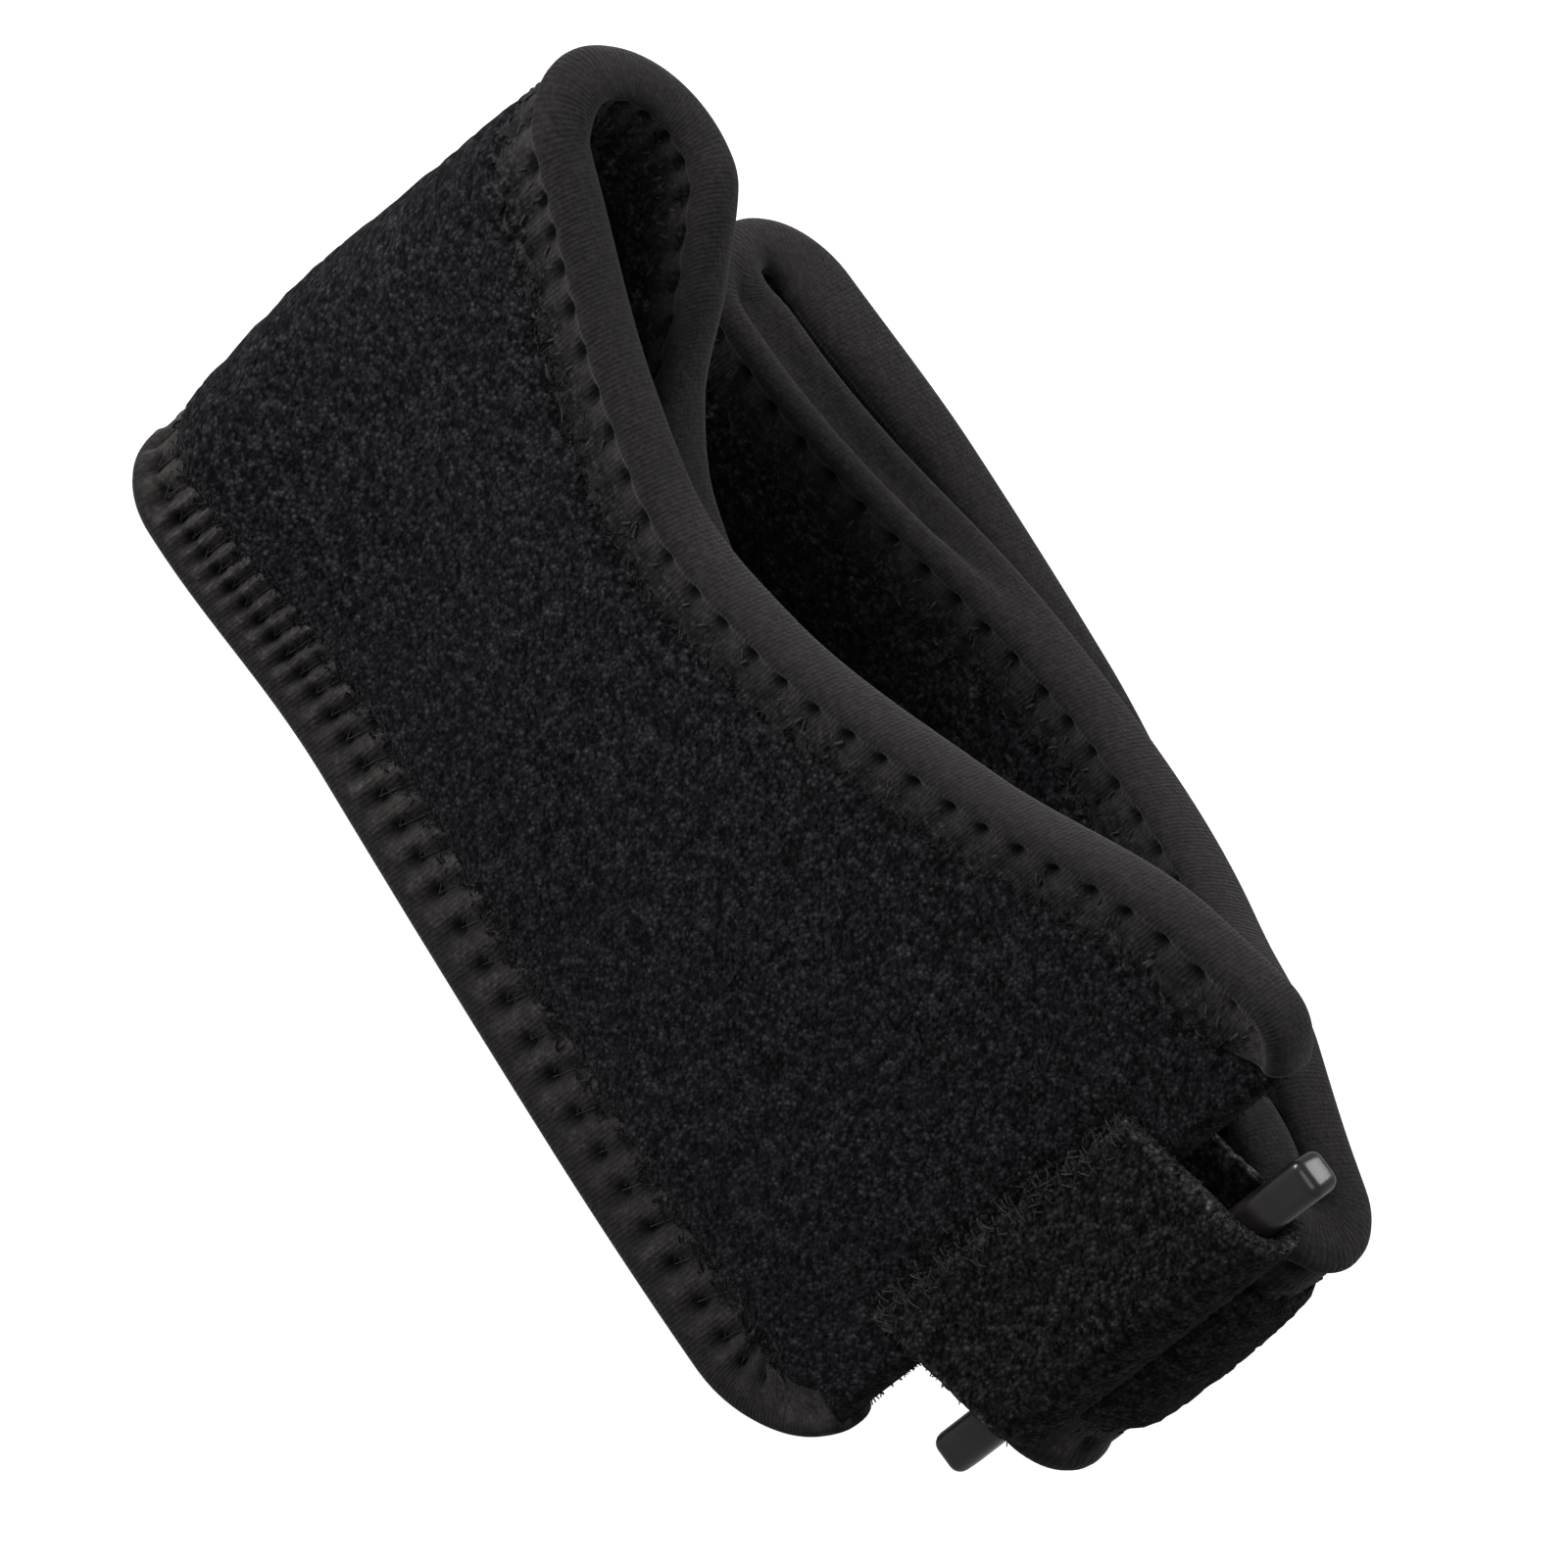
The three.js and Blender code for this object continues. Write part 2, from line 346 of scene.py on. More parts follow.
def newLook(name, finish):
    look = bpy.data.materials.new(name)
    look.use_nodes = True
    tree = look.node_tree
    shader = tree.nodes["Principled BSDF"].inputs
    shader["Roughness"].default_value = finish["roughness"]
    shader["Specular IOR Level"].default_value = finish["specular"]
    shader["Sheen Weight"].default_value = finish.get("sheen", 0.0)
    shader["Sheen Roughness"].default_value = 0.45
    shader["Sheen Tint"].default_value = (*finish.get("sheenTint", (1, 1, 1)), 1)
    return look, tree, shader


def objectPlace(tree):
    return addNode(tree, "ShaderNodeTexCoord", {}).outputs["Object"]


def placeGroup(tree, group, place, **values):
    # an effect, with the place it is read at as its first input
    return addNode(tree, "ShaderNodeGroup", {0: place, **values}, node_tree=group).outputs


def placeFleck(tree, place, finish):
    return placeGroup(tree, fleckGroup, place, Fineness=finish["fineness"], Rarity=finish["rarity"])


def mixColour(tree, factor, dark, light):
    dark, light = (value if hasattr(value, "is_linked") else (*value, 1) for value in (dark, light))
    return addNode(tree, "ShaderNodeMix", {"Factor": factor, 6: dark, 7: light}, data_type="RGBA").outputs[2]


def dressLook(tree, shader, colour, height, depth):
    # colour, and a bump with its depth in mm
    tree.links.new(colour, shader["Base Color"])
    bump = addNode(tree, "ShaderNodeBump", {"Strength": 1.0, "Distance": depth * mm, "Height": height})
    tree.links.new(bump.outputs["Normal"], shader["Normal"])


def readMark(tree, mark):
    return addNode(tree, "ShaderNodeAttribute", {}, attribute_name=mark).outputs["Fac"]


pileLook = {
    "gap": (0.0007, 0.0007, 0.0009),
    "tip": (0.037, 0.037, 0.042),
    "dusty": (0.0022, 0.0021, 0.0026),
    "roughness": 1.0,
    "specular": 0.03,
    "sheen": 0.03,
    "sheenTint": (0.85, 0.86, 0.95),
    "fineness": 2100.0,
    "rarity": 1.6,
    "patch": 28.0,
    "depth": 0.22,
}


def makePileLook():
    look, tree, shader = newLook("pileCloth", pileLook)
    place = objectPlace(tree)
    fleck = placeFleck(tree, place, pileLook)
    tone = placeGroup(tree, toneGroup, place, Patch=pileLook["patch"])["Tone"]
    ground = mixColour(tree, tone, pileLook["gap"], pileLook["dusty"])
    colour = mixColour(tree, fleck["Fleck"], ground, pileLook["tip"])
    dressLook(tree, shader, colour, fleck["Height"], pileLook["depth"])
    return look


bindingLook = {
    "groove": (0.0060, 0.0053, 0.0055),
    "crest": (0.0162, 0.0145, 0.0149),
    # lump: painted highlight on the gathers' ridges, also a pale speckle near the tape's cut end; pit:
    # painted shade in the holes, grooves and tail fold, also the dark ground of the frayed edge
    "lump": (0.078, 0.070, 0.067),
    "pit": (0.0006, 0.0005, 0.0005),
    "hair": (0.035, 0.033, 0.034),
    "roughness": 0.9,
    "specular": 0.1,
    "sheen": 0.07,
    "sheenTint": (1, 0.95, 0.94),
    "ribs": 2.2,  # per mm
    "wander": 1.4,
    "fineness": 2300.0,
    "rarity": 0.8,
    "patch": 45.0,
    "ribShade": 0.33,  # how much ribs, tone and flecks lighten the knit, the ribs' part being painted shade in their grooves
    "toneShade": 0.2,
    "fleckShade": 1.5,
    "ribHeight": 0.6,
    "depth": 0.06,
}


def makeBindingLook():
    look, tree, shader = newLook("bindingKnit", bindingLook)
    cloth = addNode(tree, "ShaderNodeUVMap", {}, uv_map="cloth").outputs["UV"]
    rib = placeGroup(tree, ribGroup, cloth, Ribs=bindingLook["ribs"], Wander=bindingLook["wander"])
    place = objectPlace(tree)
    tone = placeGroup(tree, toneGroup, place, Patch=bindingLook["patch"])["Tone"]
    fleck = placeFleck(tree, place, bindingLook)
    hair = placeFleck(tree, place, pileLook)["Fleck"]
    shade = addMath(tree, "MULTIPLY", rib["Rib"], bindingLook["ribShade"])
    for value, weight in ((tone, "toneShade"), (fleck["Fleck"], "fleckShade")):
        shade = addMath(tree, "ADD", shade, addMath(tree, "MULTIPLY", value, bindingLook[weight]))
    colour = mixColour(tree, shade, bindingLook["groove"], bindingLook["crest"])
    # painted highlight on the gathers' ridges, with the pale speckle near the tape's cut end
    ridgeHighlightAndPaleStart = addMath(tree, "MULTIPLY", readMark(tree, "lump"), addMath(tree, "ADD", fleck["Fleck"], 0.3))
    colour = mixColour(tree, ridgeHighlightAndPaleStart, colour, bindingLook["lump"])
    hairy = mixColour(tree, hair, bindingLook["pit"], bindingLook["hair"])
    colour = mixColour(tree, readMark(tree, "fray"), colour, hairy)
    # painted shade in and round the needle holes, in the gathers' grooves, along the crease and inside the
    # tail fold
    colour = mixColour(tree, readMark(tree, "pit"), colour, bindingLook["pit"])
    grain = addMath(tree, "MULTIPLY", rib["Height"], bindingLook["ribHeight"])
    grain = addMath(tree, "ADD", grain, fleck["Height"])
    dressLook(tree, shader, colour, grain, bindingLook["depth"])
    return look


threadLook = {
    "dark": (0.011, 0.0098, 0.0098),
    "light": (0.034, 0.031, 0.030),
    "roughness": 0.8,
    "specular": 0.12,
    "sheen": 0.06,
    "sheenTint": (1, 0.96, 0.94),
    "fineness": 2600.0,
    "rarity": 0.7,
    "depth": 0.06,
}
knotLook = {**threadLook, "dark": (0.016, 0.0145, 0.0148), "light": (0.042, 0.039, 0.039)}


def makeThreadLook(name, finish):
    look, tree, shader = newLook(name, finish)
    fleck = placeFleck(tree, objectPlace(tree), finish)
    colour = mixColour(tree, fleck["Fleck"], finish["dark"], finish["light"])
    dressLook(tree, shader, colour, fleck["Height"], finish["depth"])
    return look


tapeLook = {
    "gap": (0.0012, 0.0011, 0.0012),
    "loop": (0.044, 0.041, 0.043),
    "selvage": (0.12, 0.113, 0.115),
    "roughness": 1.0,
    "specular": 0.03,
    "sheen": 0.03,
    "sheenTint": (1, 0.94, 0.92),
    "fineness": 1900.0,
    "rarity": 1.5,
    "selvageRarity": 0.5,
    "depth": 0.3,
}


def makeTapeLook():
    look, tree, shader = newLook("loopTape", tapeLook)
    place = objectPlace(tree)
    fleck = placeFleck(tree, place, tapeLook)
    bristle = placeFleck(tree, place, {**tapeLook, "rarity": tapeLook["selvageRarity"]})["Fleck"]
    loops = mixColour(tree, fleck["Fleck"], tapeLook["gap"], tapeLook["loop"])
    woven = mixColour(tree, bristle, tapeLook["gap"], tapeLook["selvage"])
    colour = mixColour(tree, readMark(tree, "selvage"), loops, woven)
    dressLook(tree, shader, colour, fleck["Height"], tapeLook["depth"])
    return look


barLook = {
    "body": (0.0060, 0.0048, 0.0047),
    "rubbed": (0.011, 0.0092, 0.0090),
    "roughness": 0.2,
    "rubbedRoughness": 0.32,
    "specular": 0.45,
    "patch": 220.0,
    "grain": 2200.0,
    "depth": 0.015,
}


def makeBarLook():
    look, tree, shader = newLook("barPlastic", barLook)
    place = objectPlace(tree)
    tone = placeGroup(tree, toneGroup, place, Patch=barLook["patch"])["Tone"]
    dull = remap(tree, tone, 0.0, 1.0, barLook["roughness"], barLook["rubbedRoughness"])
    tree.links.new(dull, shader["Roughness"])
    grain = addNode(tree, "ShaderNodeTexNoise", {"Vector": place, "Scale": barLook["grain"]})
    colour = mixColour(tree, tone, barLook["body"], barLook["rubbed"])
    dressLook(tree, shader, colour, grain.outputs["Fac"], barLook["depth"])
    return look


pileCloth = makePileLook()
bindingKnit = makeBindingLook()
bindingThread = makeThreadLook("bindingThread", threadLook)
knotThread = makeThreadLook("knotThread", knotLook)
loopTape = makeTapeLook()
barPlastic = makeBarLook()
print("finishes made:", len(bpy.data.materials))


# the neoprene band with its pile faces

binding = {
    "width": {"low": 9.4, "high": 7.8},
    "holeRow": {"low": 5.3, "high": 2.9},  # needle holes, in from the bound edge
    "crown": {"low": 2.2, "high": 1.6},
    "half": 3.35,  # off the band's middle at the roll
    "pinch": 2.5,  # and at the needle holes
    "edge": 2.55,  # and at the tape's inner edge
    "tape": 0.8,
    "flatPoints": 14,
    "crownPoints": 6,
    "step": 0.46,
    "slant": {"low": 0.25, "high": 0.3},
    "relief": {"low": 1.0, "high": 0.5},
    "round": {"low": 0.8, "high": 0.5},
    "pale": {"low": 1.0, "high": 0.5},  # how pale the painted highlight makes the gathers' ridges
    "grooveShade": {"low": 0.4, "high": 0.1},  # how dark the painted shade in the gathers' grooves is
    "reach": {"low": 3.0, "high": 1.0},  # how far the gathers run up the roll
    "ragged": {"low": 0.3, "high": 0.7},
    "fray": {"low": 0.1, "high": 0.95},  # how far the tape's inner edge is lost in the pile
    "taper": {"low": 0.5, "high": 0.0},  # how much narrower the tape starts
    "taperRun": (0, 7),
    "startTurn": {"low": 0.24, "high": 0.5},  # the tape starts this far round the end corners
    "seed": {"low": 21, "high": 22},
    "pull": {"low": 0.2, "high": 0.0},
    "pullRun": (86, 112, 122, 146),
    "pitch": 4.1,
    "tightPitch": {"low": 2.2, "high": 3.2},  # sewn closer round the big fold
    "tightRun": {"low": (50, 100, 126, 150), "high": (88, 108, 128, 142)},
    "pitSize": 0.6,
    "pitDepth": 0.7,
    # spread of the painted shade round each needle hole
    "holeShadeSize": 1.15,
    "firstHoles": (5, 14),  # along the tape from its cut end
    "firstGathers": (6, 20),
    "lastLoops": (8, 16),
    "shutRun": (0.2, 2.4),
    "cornerRun": 9,  # from square to the edge at a corner to upright
}

# on the strap's inner side the top binding is stretched thin round the big fold
# and the end of the tail fold, and squeezed into a second ridge beside the tail
squeeze = {
    "rows": [  # distance along, swelling
        (108, 0), (119, -1.1), (142, -1.1), (158, 0),
        (304, 0), (338, 2.0), (355, 2.4), (362, 2.1),
        (369, -1.4), (376, 1.7), (382, 1.7), (396, 0.7),
        (414, 0),
    ],
    "dip": 2.4,
    "width": 1.4,
    "shade": 0.8,
    "dipRun": (318, 340, 360, 367),
    "shutFrom": 300,  # no stitch holes show inside the tail fold, only painted shade
}

band = {
    "alongStep": 0.75,
    "acrossCount": 62,
    "under": 3.6,  # in from the bound edge
    "edgeHalf": 1.5,  # half thickness below the binding
    "fullHalf": 3.15,  # and in the middle
    "swell": (-2.2, 2.2),  # from the binding's inner edge
    "cut": 1.4,  # the cut end stands back from the bound corners
    "endRun": 15.0,  # rows lie closer together towards both ends
    "endRound": 1.6,
    "endHalf": 1.3,
    "pile": 0.13,
    "wander": 0.22,
    "slide": 0.2,
    "seed": 11,
    "foldBulge": {1: 0.1, -1: 0.9},
    "foldRun": {1: (100, 110, 116, 130), -1: (236, 247, 250, 261)},  # big fold, fold at the bar
}

tab = {
    "thickness": 1.7,
    "width": 38,
    "overlap": 7,
    "straight": 1,
    "height": 42,
    "rise": 3.2,
    "reach": 7,
    "legOff": 3.35,
    "turn": 3.5,
    "step": 0.4,
    "acrossCount": 76,
    "selvage": 1.1,
    "selvageHalf": 0.5,
    "pile": 0.12,
    "seed": 5,
    "bed": 2.42,  # the pile lies flat below the tab
}


def boundHeight(side, at):
    # an edge of the flat pattern with its rounded corners
    inward = 1 if side == "low" else -1
    height = edgeAt(side, at)
    for corner, gone in (("endCorner", at), ("tailCorner", strapLength - at)):
        radius = strapWay[corner][side]
        short = np.clip(radius - gone, 0, radius)
        height = height + inward * (radius - np.sqrt(radius**2 - short**2))
    return height


def pullIn(side, at):
    # the tape is drawn narrower where it is stretched round the big fold, and towards its start
    drawn = 1 - binding["pull"][side] * between(binding["pullRun"], at)
    return drawn * (1 - binding["taper"][side] * (1 - smooth(*binding["taperRun"], at)))


def tabRise(at):
    return tab["rise"] * (tab["overlap"] - at) / (tab["overlap"] + tab["reach"])


def clearOfTape(side, at, height):
    # how far a point lies inside the tape, measured from the arc where the tape rounds a corner
    deep = (height - edgeAt(side, at)) * (1 if side == "low" else -1)
    radius = strapWay["endCorner"][side]
    across = np.maximum(radius - at, 0)
    down = np.maximum(radius - deep, 0)
    start = binding["startTurn"][side]
    turn = np.arctan2(down, across + 0.001)
    covered = smooth(start - 0.12, start, turn) * (across > 0)
    inside = deep + covered * (radius - np.hypot(across, down) - deep)
    edgePoint = at + covered * (radius * (1 - np.cos(turn)) - at)
    return inside - binding["width"][side] * pullIn(side, edgePoint)


def bandHalf(at, height):
    # half thickness of the padded band: thin below its binding, full between
    clear = np.minimum(clearOfTape("low", at, height), clearOfTape("high", at, height))
    half = band["edgeHalf"] + (band["fullHalf"] - band["edgeHalf"]) * smooth(*band["swell"], clear)
    fromTab = np.abs(height - tab["height"] - tabRise(at)) - tab["width"] / 2
    bedded = (1 - smooth(0.3, 2.2, fromTab)) * (1 - smooth(tab["overlap"] - 0.5, tab["overlap"] + 2.5, at))
    half = half + bedded * (np.minimum(half, tab["bed"]) - half)
    rounded = np.sqrt(np.clip(1 - (1 - np.clip((at - band["cut"]) / band["endRound"], 0, 1)) ** 2, 0, 1))
    return band["endHalf"] + (half - band["endHalf"]) * rounded


def makeBand():
    endRun, cut = band["endRun"], band["cut"]
    ends = cut + (endRun - cut) * (1 - np.cos(np.linspace(0, math.pi / 2, 14)))
    middle = np.arange(endRun, strapLength - endRun, band["alongStep"])
    at = np.concatenate([ends[:-1], middle, strapLength - ends[::-1]])
    share = np.linspace(0, 1, band["acrossCount"])
    low = boundHeight("low", at) + band["under"]
    high = boundHeight("high", at) - band["under"]
    height = low[:, None] + (high - low)[:, None] * share
    along = np.repeat(at[:, None], len(share), 1)
    half = bandHalf(along, height)
    rng = np.random.default_rng(band["seed"])
    sides = []
    for sign in (1, -1):
        fluff = rng.uniform(-1, 1, half.shape) * band["pile"]
        wander = band["wander"] * np.sin(along / 17 + sign) * np.sin(height / 13 + 0.6 * sign)
        off = sign * (half + fluff + wander)
        # folds swell outwards between their bindings
        turn = between(band["foldRun"][sign], along)
        off = off + sign * band["foldBulge"][sign] * turn * np.sin(math.pi * share)
        slide = rng.uniform(-band["slide"], band["slide"], half.shape) * smooth(1.5, 4, along)
        sides.append(foldFlat(along + slide, height, off))
    return sleeveMesh("strapPile", *sides, np.stack([along, height], -1), {})


strapPile = finishPiece(makeBand(), pileCloth, "pile_neoprene", "neoprene_band")


# the stretch binding, rolled over both long edges and sewn down

def edgeLine(side):
    # the bound edge on the flat pattern, evenly spaced, with the way inwards at each point
    inward = 1 if side == "low" else -1
    quarter = np.linspace(0, math.pi / 2, 40)
    start = quarter[quarter > binding["startTurn"][side]]
    endRadius = strapWay["endCorner"][side]
    tailRadius = strapWay["tailCorner"][side]
    at = np.concatenate([
        endRadius * (1 - np.cos(start)),
        np.arange(endRadius + 0.2, strapLength - tailRadius, 0.2),
        strapLength - tailRadius * (1 - np.sin(quarter)),
    ])
    height = boundHeight(side, at)
    tailMiddle = (edgeAt("low", strapLength) + edgeAt("high", strapLength)) / 2 - inward * 0.15
    at = np.append(at, strapLength)
    height = np.append(height, tailMiddle)
    length = np.concatenate([[0], np.cumsum(np.hypot(np.diff(at), np.diff(height)))])
    even = np.arange(0, length[-1], binding["step"])
    at = np.interp(even, length, at)
    height = np.interp(even, length, height)
    wayAt, wayHeight = np.gradient(at), np.gradient(height)
    size = np.hypot(wayAt, wayHeight)
    wayAt, wayHeight = wayAt / size, wayHeight / size
    inAt, inHeight = -inward * wayHeight, inward * wayAt
    # square to the edge round a corner, along the fold lines elsewhere
    run, tailStart = binding["cornerRun"], strapLength - tailRadius
    upright = between((endRadius, endRadius + run, tailStart - run, tailStart), at)
    slip = np.where(upright > 0, -inAt / np.where(np.abs(wayAt) < 0.2, 1, wayAt), 0) * upright
    return even, at, height, inAt + slip * wayAt, inHeight + slip * wayHeight


def stitchCount(side, at, along):
    # how many stitches have been sewn at each point, how long each is there and how tight
    tight = between(binding["tightRun"][side], at)
    pitch = binding["pitch"] + (binding["tightPitch"][side] - binding["pitch"]) * tight
    return 0.4 + np.cumsum(np.gradient(along) / pitch), pitch, tight


def bindingSection(side):
    # depth in from the edge and share of the roll, from the front inner edge round to the back one
    crown = binding["crown"][side]
    flat = np.linspace(binding["width"][side], crown, binding["flatPoints"])
    angle = np.linspace(0, math.pi / 2, binding["crownPoints"] + 1)[1:]
    roll = crown * (1 - np.sin(angle))
    reach = np.cos(angle) ** 0.8
    deep = np.concatenate([flat, roll, roll[-2::-1], flat[::-1]])
    off = np.concatenate([np.ones_like(flat), reach, -reach[-2::-1], -np.ones_like(flat)])
    return deep, off


def ragged(along, spacing, rng):
    # smooth random wander along an edge, between -1 and 1
    knots = np.arange(along[0] - spacing, along[-1] + 2 * spacing, spacing)
    return np.interp(along, knots, rng.uniform(-1, 1, len(knots)))


def makeBinding(name, side):
    along, at, height, inAt, inHeight = edgeLine(side)
    count, pitch, tight = stitchCount(side, at, along)
    deep, share = bindingSection(side)
    width, row, crown, reach = (binding[key][side] for key in ("width", "holeRow", "crown", "reach"))
    rng = np.random.default_rng(binding["seed"][side])

    def layer(depth, off):
        return foldFlat(at[:, None] + depth * inAt[:, None], height[:, None] + depth * inHeight[:, None], off)

    # where each point lies between two stitches, and how the tape gathers there
    slant = np.where(deep > row, (deep - row) / (width - row) * binding["slant"][side], 0)
    phase = (count + 0.06 * ragged(along, 3.0, rng))[:, None] + slant
    cycle = phase - np.round(phase)
    sewn = smooth(row - 0.4, row + 0.6, deep)
    gathered = smooth(row - reach, row - 0.4 * reach, deep)
    rows = np.array(squeeze["rows"], float)
    swell = tableAt(rows[:, 0], rows[:, 1], at)[:, None] * (side == "high")
    closed = smooth(0.1, 0.6, np.abs(swell)) * (at[:, None] > squeeze["shutFrom"]) * (share < 0)
    gap = np.hypot(cycle * pitch[:, None], (deep - row) * 0.85)
    clear = (1 - closed) * smooth(*binding["firstHoles"], along)[:, None]
    pit = np.exp(-((gap / binding["pitSize"]) ** 2)) * clear
    holeShade = np.exp(-((gap / binding["holeShadeSize"]) ** 2)) * clear
    ridge = (0.5 - 0.5 * np.cos(2 * math.pi * cycle)) ** binding["round"][side]
    strength = (1 + 0.35 * ragged(along, 2.3, rng)) * (0.5 + 0.5 * tight)
    strength = (strength * (0.2 + 0.8 * smooth(*binding["firstGathers"], along)))[:, None]

    # off the band's middle, and in from its edge
    half = binding["half"] + (binding["pinch"] - binding["half"]) * smooth(crown, row, deep)
    half = half + (binding["edge"] - binding["pinch"]) * smooth(row, width, deep)
    half = half + binding["relief"][side] * strength * (ridge - 0.6) * gathered * (1 - closed)
    half = half - binding["pitDepth"] * pit
    half = half + 0.12 * sewn * rng.uniform(-1, 1, half.shape)
    off = half * share
    wander = 0.2 * ridge + binding["ragged"][side] * ragged(along, 0.9, rng)[:, None]
    depth = deep * pullIn(side, at)[:, None] + wander * smooth(width - 2.0, width, deep)
    crease = np.zeros_like(half)
    if side == "high":
        dip = between(squeeze["dipRun"], at)[:, None]
        off = off - swell * smooth(0.7, -0.7, share) * (1 - smooth(row, width, deep))
        crease = np.exp(-(((off + swell / 2) / squeeze["width"]) ** 2))
        crease = crease * (1 - smooth(crown * 0.7, crown, deep))
        depth = depth + squeeze["dip"] * dip * crease
        crease = crease**2 * dip * squeeze["shade"]
    tuck = binding["tape"] * (0.55 + 0.45 * smooth(width, width - 1.5, deep))
    opening = smooth(*binding["shutRun"], along)[:, None]  # the tape's cut end is sewn shut
    innerOff = np.sign(share) * np.clip(np.abs(off) - tuck, 0, None) * opening
    innerDepth = np.maximum(depth, 0) + binding["tape"] * (1 - smooth(crown * 0.3, crown, deep))

    # marks for the look: painted shade in and round the needle holes, in the gathers' grooves, along the
    # crease and inside the tail fold, a painted highlight on the gathers' ridges, a pale speckle near the
    # tape's cut end, and cloth lost in the pile
    dark = pit * 1.4 + 0.4 * holeShade + binding["grooveShade"][side] * strength * (1 - ridge) ** 2 * gathered
    # painted shade along the crease and deep inside the closed tail fold
    dark = np.clip(dark + crease + 0.9 * closed * smooth(crown, crown + 1.2, deep), 0, 1)
    pale = 0.35 + 0.65 * rng.uniform(0, 1, half.shape)
    lump = np.clip(binding["pale"][side] * ridge * gathered * strength * pale, 0, 1)
    loops = (1 - smooth(*binding["lastLoops"], along))[:, None] * smooth(crown, row, deep)
    lump = np.maximum(lump, 0.55 * loops * rng.uniform(0, 1, half.shape))
    fray = binding["fray"][side] * smooth(row + 0.3, row + 0.55 * (width - row), deep)
    fray = np.clip(fray * (0.8 + 0.4 * rng.uniform(0, 1, half.shape)), 0, 1)
    marks = {"pit": dark, "lump": lump, "fray": fray}
    across = np.cumsum(np.abs(np.gradient(deep)))
    cloth = np.stack([along[:, None] + 0 * phase, across + 0 * phase], -1)
    return sleeveMesh(name, layer(depth, off), layer(innerDepth, innerOff), cloth, marks)


bindingTop = makeBinding("bindingTop", "high")
finishPiece(bindingTop, bindingKnit, "binding_tape", "binding_top")
bindingBottom = makeBinding("bindingBottom", "low")
finishPiece(bindingBottom, bindingKnit, "binding_tape", "binding_bottom")


# strands laid on marked points: stitches, fuzz and loops

def makeStrandTree():
    inputs = {"Geometry": "Geometry"}
    inputs.update({label: "Float" for label in ("Length", "Thickness", "Bow", "Spread")})
    inputs.update({label: "Int" for label in ("Sides", "Steps", "Seed")})
    inputs["Finish"] = "Material"
    tree, entry, leave = newGroup("GeometryNodeTree", "layStrands", inputs, {"Geometry": "Geometry"})
    bow = {"Resolution": entry["Steps"]}
    handles = (("Start", -0.5, 0), ("Start Handle", -0.25, 1), ("End Handle", 0.25, 1), ("End", 0.5, 0))
    for label, share, lift in handles:
        along = addMath(tree, "MULTIPLY", entry["Length"], share)
        rise = addMath(tree, "MULTIPLY", entry["Bow"], lift)
        bow[label] = addNode(tree, "ShaderNodeCombineXYZ", {"X": along, "Z": rise}).outputs["Vector"]
    arc = addNode(tree, "GeometryNodeCurvePrimitiveBezierSegment", bow)
    radius = addMath(tree, "MULTIPLY", entry["Thickness"], 0.5)
    ring = addNode(tree, "GeometryNodeCurvePrimitiveCircle", {"Resolution": entry["Sides"], "Radius": radius})
    strand = addNode(tree, "GeometryNodeCurveToMesh", {
        "Curve": arc.outputs["Curve"],
        "Profile Curve": ring.outputs["Curve"],
        "Fill Caps": True,
    })
    turn = {}
    for mark, axis, pivot in (("face", "Z", "AUTO"), ("lie", "X", "Z")):
        way = addNode(tree, "GeometryNodeInputNamedAttribute", {"Name": mark}, data_type="FLOAT_VECTOR")
        turn["Vector"] = way.outputs["Attribute"]
        align = addNode(tree, "FunctionNodeAlignRotationToVector", turn, axis=axis, pivot_axis=pivot)
        turn["Rotation"] = align.outputs["Rotation"]
    size = addNode(tree, "FunctionNodeRandomValue", {
        2: addMath(tree, "SUBTRACT", 1.0, entry["Spread"]),
        3: addMath(tree, "ADD", 1.0, entry["Spread"]),
        "Seed": entry["Seed"],
    }, data_type="FLOAT")
    spread = addNode(tree, "GeometryNodeInstanceOnPoints", {
        "Points": entry["Geometry"],
        "Instance": strand.outputs["Mesh"],
        "Rotation": turn["Rotation"],
        "Scale": size.outputs[1],
    })
    real = addNode(tree, "GeometryNodeRealizeInstances", {"Geometry": spread.outputs["Instances"]})
    laid = addNode(tree, "GeometryNodeSetMaterial", {
        "Geometry": real.outputs["Geometry"],
        "Material": entry["Finish"],
    })
    tree.links.new(laid.outputs["Geometry"], leave["Geometry"])
    return tree


strandTree = makeStrandTree()


def layStrands(name, sizes, rows, look):
    # rows of points, with the way each strand lies and the way it faces
    points, lies, faces = (np.concatenate(part) for part in zip(*rows))
    mesh = bpy.data.meshes.new(name)
    mesh.from_pydata(((points + strapOffset) * mm).tolist(), [], [])
    for mark, values in (("lie", lies), ("face", faces)):
        attribute = mesh.attributes.new(mark, "FLOAT_VECTOR", "POINT")
        attribute.data.foreach_set("vector", np.asarray(values, np.float32).ravel())
    piece = addObject(name, mesh)
    modifier = piece.modifiers.new("strands", "NODES")
    modifier.node_group = strandTree
    for item in strandTree.interface.items_tree:
        if item.in_out == "INPUT" and item.name in sizes:
            scale = mm if item.name in ("Length", "Thickness", "Bow") else 1
            modifier[item.identifier] = sizes[item.name] * scale
        if item.in_out == "INPUT" and item.name == "Finish":
            modifier[item.identifier] = look
    depsgraph = bpy.context.evaluated_depsgraph_get()
    laid = bpy.data.meshes.new_from_object(piece.evaluated_get(depsgraph))
    piece.modifiers.remove(modifier)
    piece.data = laid
    shadeSmooth(laid)
    return piece


